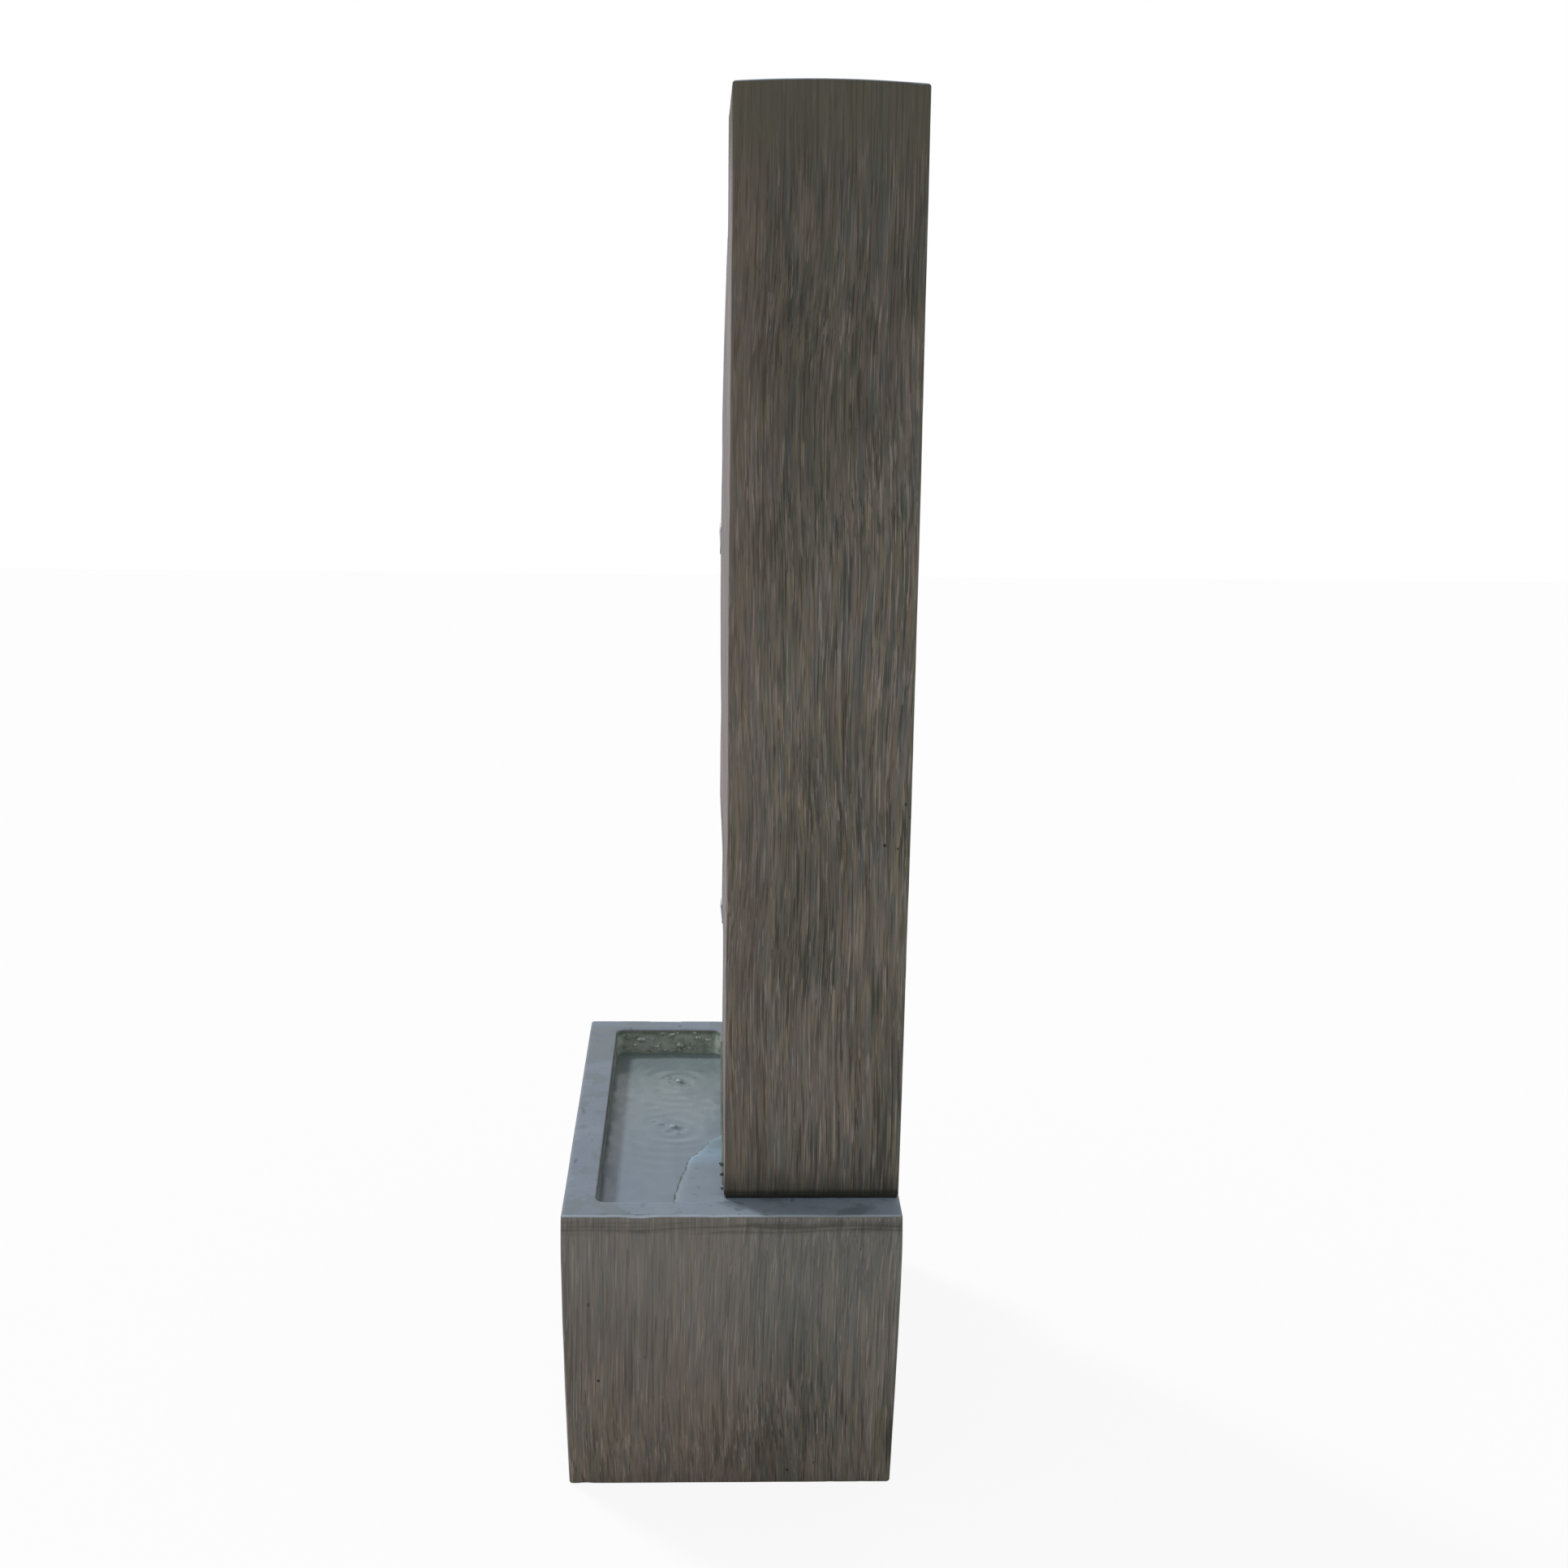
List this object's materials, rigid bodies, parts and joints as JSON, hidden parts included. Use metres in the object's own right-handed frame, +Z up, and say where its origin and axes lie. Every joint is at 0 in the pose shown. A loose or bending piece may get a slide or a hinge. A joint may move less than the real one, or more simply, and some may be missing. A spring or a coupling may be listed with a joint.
{
  "type": "garden wall fountain",
  "caption": "Cast stone wall fountain: slab column with spouting oval mouths on a rectangular basin, with its pump, hoses and valve inside.",
  "frame": {"origin": "on the ground, under the middle of the basin's outline", "axes": "+Z up, the pool and both mouths face -Y, the back that stands to the wall faces +Y, +X to the right for someone looking at the front"},
  "size_m": [0.5448, 0.3398, 1.37],
  "materials": {
    "cast_stone": "fine vertical brushed streaks, matt",
    "mortar": "trowelled, matt",
    "stainless": "satin",
    "brass": "satin, slightly tarnished",
    "chromed_ball": "polished",
    "black_rubber": "matt",
    "panel_plastic": "fine grained",
    "bowl_plastic": "moulded",
    "fitting_plastic": "moulded",
    "clear_hose": "milky, smooth",
    "seat_plastic": "smooth",
    "lever_red": "dipped",
    "pump_plastic": "moulded",
    "dial_plastic": "moulded",
    "impeller_plastic": "moulded",
    "magnet": "sintered",
    "ceramic": "ground",
    "core_steel": "laminated",
    "copper": "enamelled wire",
    "resin": "poured"
  },
  "bodies": {
    "fountain": {"basin_shell": "cast_stone", "chamber_wall": "cast_stone", "deck_slab": "cast_stone", "column_shell": "cast_stone", "corner_ledge": "mortar", "bedding_strip": "mortar", "locating_dowels": "stainless", "panel_screws": "stainless", "wall_tie_plate": "stainless", "tie_screws": "stainless", "bowl_screws": "stainless", "hose_clamps": "stainless", "clip_screws": "stainless", "volute_screws": "stainless", "drain_bush": "brass", "valve_body": "brass", "cable_grommet": "black_rubber", "suction_feet": "black_rubber", "volute_o_ring": "black_rubber", "rear_access_panel": "panel_plastic", "upper_spill_bowl": "bowl_plastic", "lower_spill_bowl": "bowl_plastic", "upper_bowl_tail": "fitting_plastic", "lower_bowl_tail": "fitting_plastic", "tail_nuts": "fitting_plastic", "branch_elbow": "fitting_plastic", "hose_tee": "fitting_plastic", "hose_clips": "fitting_plastic", "outlet_barb": "fitting_plastic", "riser_hose": "clear_hose", "upper_hose": "clear_hose", "link_hose": "clear_hose", "lower_hose": "clear_hose", "valve_seats": "seat_plastic", "pump_housing": "pump_plastic", "pump_end_cap": "pump_plastic", "volute_cover": "pump_plastic", "pump_cable_gland": "pump_plastic", "intake_strainer": "pump_plastic", "rotor_shaft": "ceramic", "shaft_bushes": "ceramic", "stator_core": "core_steel", "stator_winding": "copper", "potting_resin": "resin"},
    "rotor": {"impeller": "impeller_plastic", "rotor_magnet": "magnet"},
    "dial": {"flow_dial": "dial_plastic"},
    "valve": {"valve_ball": "chromed_ball", "valve_lever": "lever_red"},
    "plug": {"drain_plug": "black_rubber"}
  },
  "joints": [
    {"name": "rotor_spin", "type": "hinge", "parent": "fountain", "child": "rotor", "pos_m": [0.01, 0.062, 0.07], "axis": [1, 0, 0], "continuous": true},
    {"name": "dial_turn", "type": "hinge", "parent": "fountain", "child": "dial", "pos_m": [-0.08, 0.062, 0.07], "axis": [1, 0, 0], "range_deg": [0, 60]},
    {"name": "valve_turn", "type": "hinge", "parent": "fountain", "child": "valve", "pos_m": [-0.088, 0.047, 0.412], "axis": [0, -1, 0], "range_deg": [0, 90]},
    {"name": "plug_lift", "type": "slide", "parent": "fountain", "child": "plug", "axis": [0, 0, 1], "range_m": [0, 0.05]}
  ]
}
